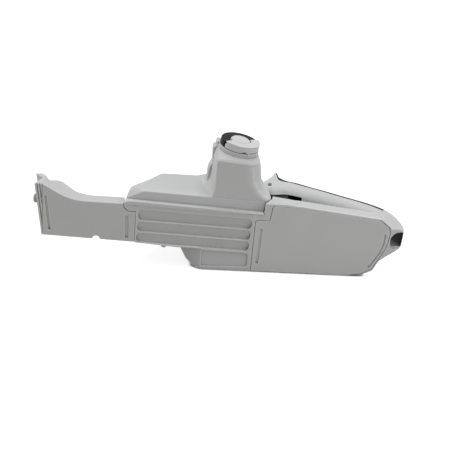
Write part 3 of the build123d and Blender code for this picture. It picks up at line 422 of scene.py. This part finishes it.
# tank shell with an upright front: points in the sloping front's range of Y are pressed back towards its
# upper edge, the inner wall behind them moves back too, and the ledge before them comes down a little; faces
# that this turns get their own normal at each corner, and the others keep theirs
def makeTankShell():
    look = shellStep
    points, triangles, corners = mergedArrays("tank_shell")
    before = faceNormals(points, triangles)
    x, y, z = points.T.copy()
    low, high = look["outer"]
    ledge = look["ledge"][0] + look["ledge"][1] * x
    onLedge = (np.abs(z - ledge) < look["reach"]) & (y < look["ledgeFront"])
    inWall = np.abs(y - look["inner"]) < look["wallReach"]
    inFront = (y > low) & (y < high) & (z > ledge - look["reach"]) & ~inWall
    points[inFront, 1] = high - (high - y[inFront]) * look["flat"]
    points[inWall, 1] += look["innerBack"]
    points[onLedge, 2] -= look["lower"]
    after = faceNormals(points, triangles)
    turned = (before * after).sum(axis=1) < look["sameWay"]
    corners[turned] = after[turned, None, :]
    mesh = bpy.data.meshes.new("tankShell")
    mesh.from_pydata(points.tolist(), [], triangles.tolist())
    mesh.polygons.foreach_set("use_smooth", np.ones(len(triangles), dtype=bool))
    mesh.normals_split_custom_set(corners.reshape(-1, 3).tolist())
    mesh.materials.append(finish["tankPlastic"])
    piece = bpy.data.objects.new("tankShell", mesh)
    scene.collection.objects.link(piece)
    moved = {"ledge": int(onLedge.sum()), "wall": int(inWall.sum()), "front": int(inFront.sum())}
    print("tank shell:", len(points), "points, moved", moved, "and", int(turned.sum()), "faces turned")
    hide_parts("tank_shell")
    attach(piece, "root")


# front and back are the Y of its faces, dish is the depth of its middle, and reach says which points of the
# node lie in its front face
plugLook = {
    "front": -0.0320, "back": -0.0280, "reach": 0.00005, "dish": 0.0034, "power": 2.6,
    "rings": 14, "outermost": 0.97, "innermost": 0.04,
}


# stopper with a dished face: the node's outline, drawn in towards its middle in rings whose depth grows by a
# power of how far they are drawn in
def makePlug():
    look = plugLook
    points = mergedArrays("tail_plug")[0]
    outline = points[np.abs(points[:, 1] - look["front"]) < look["reach"]][:, [0, 2]]
    middle = (outline.min(axis=0) + outline.max(axis=0)) / 2
    turn = np.arctan2(outline[:, 1] - middle[1], outline[:, 0] - middle[0])
    outline = outline[np.argsort(turn)]
    share = np.concatenate([[1, 1], np.linspace(look["outermost"], look["innermost"], look["rings"])])
    depth = look["front"] + look["dish"] * (1 - share ** look["power"])
    depth[0] = look["back"]
    rings = middle + share[:, None, None] * (outline - middle)
    depths = np.repeat(depth[:, None], len(outline), axis=1)
    points = np.stack([rings[..., 0], depths, rings[..., 1]], axis=-1)
    piece = gridPiece("tailPlug", points, finish["plugRubber"])
    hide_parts("tail_plug")
    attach(piece, "root")


# roof of the bulge, where it stands out past the pan's far wall
roofLook = {
    "outline": [(-0.0546, 0.0260), (-0.0500, 0.0200), (-0.0350, 0.0220), (-0.0180, 0.0300), (-0.0180, 0.0419),
                (-0.0439, 0.0376)],
    "top": 0.02799, "thickness": 0.0024,
}


# flat plate: the outline at two heights
def makeBulgeRoof():
    look = roofLook
    outline = np.array(look["outline"])
    rows = [np.column_stack([outline, np.full(len(outline), height)])
            for height in (look["top"] - look["thickness"], look["top"])]
    piece = gridPiece("bulgeRoof", np.stack(rows), finish["tankPlastic"], smooth=False)
    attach(piece, "root")


# places are a point on the axis, the turn of the axis from Y about Z in degrees, and how far the head's face
# lies from the point; rings are radius, height over the face, and the drive's share of lobes
screwLook = {
    "places": [((0.13277, 0.01660, 0.057), -34.0, 0.01640), ((0.16401, -0.00620, 0.057), -39.0, 0.01660)],
    "rings": [(0.0002, -0.0016, 1), (0.0013, -0.0014, 1), (0.0019, -0.0012, 1), (0.0020, -0.0001, 1),
              (0.0021, 0.0, 1), (0.0030, 0.0, 0.2), (0.0036, -0.00005, 0), (0.0038, -0.0003, 0),
              (0.0038, -0.0021, 0), (0.0036, -0.0022, 0), (0.0020, -0.0022, 0), (0.0020, -0.0140, 0),
              (0.0012, -0.0151, 0), (0.0002, -0.0153, 0)],
    "lobes": 6, "swell": 0.15, "columns": 48,
}


# screw: a profile turned round its axis, where the radius of the drive's rings swells by a cosine with as
# many turns as there are lobes
def makeScrew(index, place, turn, reach):
    look = screwLook
    angle = np.linspace(0, 2 * np.pi, look["columns"], endpoint=False)
    rings = np.array(look["rings"])
    radius = rings[:, 0, None] * (1 + look["swell"] * rings[:, 2, None] * np.cos(look["lobes"] * angle))
    outward = (-np.sin(np.radians(turn)), np.cos(np.radians(turn)), 0.0)
    first, second, axis = frameAlong(outward, (0, 0, 1))
    centre = np.array(place) + axis * reach
    points = centre + radius[..., None] * (np.cos(angle)[:, None] * first + np.sin(angle)[:, None] * second)
    points = points + rings[:, 1, None, None] * axis
    piece = gridPiece("mouldingScrew" + str(index), points, finish["screwSteel"], smooth=False)
    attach(piece, "root")
    return piece


# centre and axis are the cap's; turn is in degrees round the axis, radius and height are the nib's place, and
# size is half its width, depth and height
nibLook = {
    "centre": (0.0082, -0.0070, 0.1432), "axis": (0.142117, -0.102907, 0.984486),
    "turn": 294.0, "radius": 0.02262, "height": -0.00705, "size": (0.0017, 0.00045, 0.00095),
    "square": 0.35, "rows": 25, "columns": 40, "pole": 0.02,
}


# position nib of the wing: a squared ball, each coordinate a power of the sine or cosine that keeps its sign,
# hung from the wing's lower edge just outside the collar
def makeNib():
    look = nibLook
    first, second, axis = frameAlong(look["axis"], (1, 0, 0))
    turn = np.radians(look["turn"])
    outward = np.cos(turn) * first + np.sin(turn) * second
    along = -np.sin(turn) * first + np.cos(turn) * second
    centre = np.array(look["centre"]) + outward * look["radius"] + axis * look["height"]
    v = np.linspace(look["pole"], np.pi - look["pole"], look["rows"])[:, None]
    u = np.linspace(0, 2 * np.pi, look["columns"], endpoint=False)[None, :]

    def power(value):
        return np.sign(value) * np.abs(value) ** look["square"]

    halfWidth, halfDepth, halfHeight = look["size"]
    width = halfWidth * power(np.sin(v)) * power(np.cos(u))
    depth = halfDepth * power(np.sin(v)) * power(np.sin(u))
    height = halfHeight * power(np.cos(v)) * np.ones_like(u)
    points = centre + width[..., None] * along - depth[..., None] * outward + height[..., None] * axis
    piece = gridPiece("wingNib", points, finish["capLight"])
    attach(piece, "cap_wing")


makeTankShell()
makePlug()
makeBulgeRoof()
makeWeldFlash()
makeCoverFlash()
for index, (place, turn, reach) in enumerate(screwLook["places"]):
    screw = makeScrew(index + 1, place, turn, reach)
    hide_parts("moulding_screws")
makeNib()
print("stage: new pieces made")

# floor, light and camera

# bounce is the colour that lights the object from below, seen and lift are the colour and the glow that the
# camera sees; where less of the sky is open within contact, over the span, both go down to their darkest: a
# painted contact shadow
floorLook = {
    "size": 6.0, "bounce": (0.50, 0.485, 0.46), "seen": 0.44, "lift": 0.80,
    "contact": 0.005, "span": (0.40, 0.80), "darkestSeen": 0.08, "darkestLift": 0.10,
}


# share of the plain background: 1 for rays from the camera, and for those mirrored or let through by a piece
def backgroundShare(tree):
    path = addNode(tree, "ShaderNodeLightPath")
    share = path.outputs["Is Camera Ray"]
    for kind in ("Is Glossy Ray", "Is Transmission Ray"):
        larger = addNode(tree, "ShaderNodeMath", operation="MAXIMUM")
        tree.links.new(share, larger.inputs[0])
        tree.links.new(path.outputs[kind], larger.inputs[1])
        share = larger.outputs[0]
    return share


# large square at Z = 0 with its own colour for the camera and for the light that it throws up
def makeFloor():
    look = floorLook
    size = look["size"]
    points = [(-size, -size, 0), (size, -size, 0), (size, size, 0), (-size, size, 0)]
    mesh = bpy.data.meshes.new("floor")
    mesh.from_pydata(points, [], [(0, 1, 2, 3)])
    floor = bpy.data.objects.new("floor", mesh)
    scene.collection.objects.link(floor)
    material, tree, shader = newMaterial("paleFloor")
    shader.inputs["Roughness"].default_value = 1.0
    shader.inputs["Specular IOR Level"].default_value = 0.0
    background = backgroundShare(tree)
    # painted contact shadow: what the camera sees of the floor darkens where the object closes the sky near
    # it
    sky = openness(tree, look["contact"])
    seen = rampBetween(tree, sky, *look["span"], look["darkestSeen"], look["seen"])
    colour = mixedBy(tree, background, look["bounce"] + (1,), seen)
    tree.links.new(colour, shader.inputs["Base Color"])
    clear = rampBetween(tree, sky, *look["span"], look["darkestLift"], 1.0)
    lift = addNode(tree, "ShaderNodeMath", operation="MULTIPLY")
    lift.inputs[1].default_value = look["lift"]
    tree.links.new(background, lift.inputs[0])
    tree.links.new(clear, shader.inputs["Emission Color"])
    tree.links.new(lift.outputs[0], shader.inputs["Emission Strength"])
    mesh.materials.append(material)


# places and aims in metres, sizes of the square lamps too, powers in watts
lighting = {
    "worldStrength": 0.52,
    "worldColour": (0.985, 1.0, 1.012, 1),
    "key": {"place": (0.0, 0.20, 1.5), "aim": (0, 0.05, 0.05), "size": 1.3, "power": 9.1},
    "left": {"place": (-1.3, 0.25, 0.6), "aim": (0, 0.0, 0.08), "size": 0.9, "power": 4.2},
    "right": {"place": (1.2, -0.5, 0.8), "aim": (0, 0.0, 0.08), "size": 0.9, "power": 5.0},
}


def aimed(place, aim):
    return (Vector(aim) - Vector(place)).to_track_quat("-Z", "Y").to_matrix().to_4x4()


def addLamp(name, values):
    lamp = bpy.data.lights.new(name, "AREA")
    lamp.size = values["size"]
    lamp.energy = values["power"]
    holder = bpy.data.objects.new(name, lamp)
    holder.matrix_world = Matrix.Translation(values["place"]) @ aimed(values["place"], values["aim"])
    scene.collection.objects.link(holder)


# the world lights the object with its own colour and strength, and shows as white behind it
def makeWorld():
    world = bpy.data.worlds.new("studio")
    scene.world = world
    world.use_nodes = True
    tree = world.node_tree
    plain = tree.nodes["Background"]
    plain.inputs["Color"].default_value = lighting["worldColour"]
    plain.inputs["Strength"].default_value = lighting["worldStrength"]
    white = addNode(tree, "ShaderNodeBackground")
    white.inputs["Strength"].default_value = 1.0
    white.inputs["Color"].default_value = (1, 1, 1, 1)
    mix = addNode(tree, "ShaderNodeMixShader")
    tree.links.new(backgroundShare(tree), mix.inputs[0])
    tree.links.new(plain.outputs[0], mix.inputs[1])
    tree.links.new(white.outputs[0], mix.inputs[2])
    tree.links.new(mix.outputs[0], tree.nodes["World Output"].inputs["Surface"])


camera = {
    "turn": 6.0, "rise": 23.0, "roll": 5.3, "distance": 0.930, "aim": (0.0, -0.003, 0.0387),
    "lens": 64.0, "sensor": 36.0, "nearest": 0.01,
}


# the view direction is Y turned towards X by turn and down by rise, then the picture is rolled
def makeCamera():
    turn, rise, roll = (np.radians(camera[key]) for key in ("turn", "rise", "roll"))
    forward = np.array([np.sin(turn) * np.cos(rise), np.cos(turn) * np.cos(rise), -np.sin(rise)])
    right = np.array([np.cos(turn), -np.sin(turn), 0.0])
    up = np.cross(right, forward)
    right, up = np.cos(roll) * right + np.sin(roll) * up, np.cos(roll) * up - np.sin(roll) * right
    place = np.array(camera["aim"]) - camera["distance"] * forward
    data = bpy.data.cameras.new("photoView")
    data.lens = camera["lens"]
    data.sensor_width = camera["sensor"]
    data.clip_start = camera["nearest"]
    holder = bpy.data.objects.new("photoView", data)
    matrix = Matrix.Identity(4)
    for row in range(3):
        matrix[row][0], matrix[row][1] = right[row], up[row]
        matrix[row][2], matrix[row][3] = -forward[row], place[row]
    holder.matrix_world = matrix
    scene.collection.objects.link(holder)
    scene.camera = holder


makeFloor()
makeWorld()
for side in ("key", "left", "right"):
    addLamp(side + "Lamp", lighting[side])
makeCamera()
scene.view_settings.view_transform = "Standard"
print("stage: light and camera set")
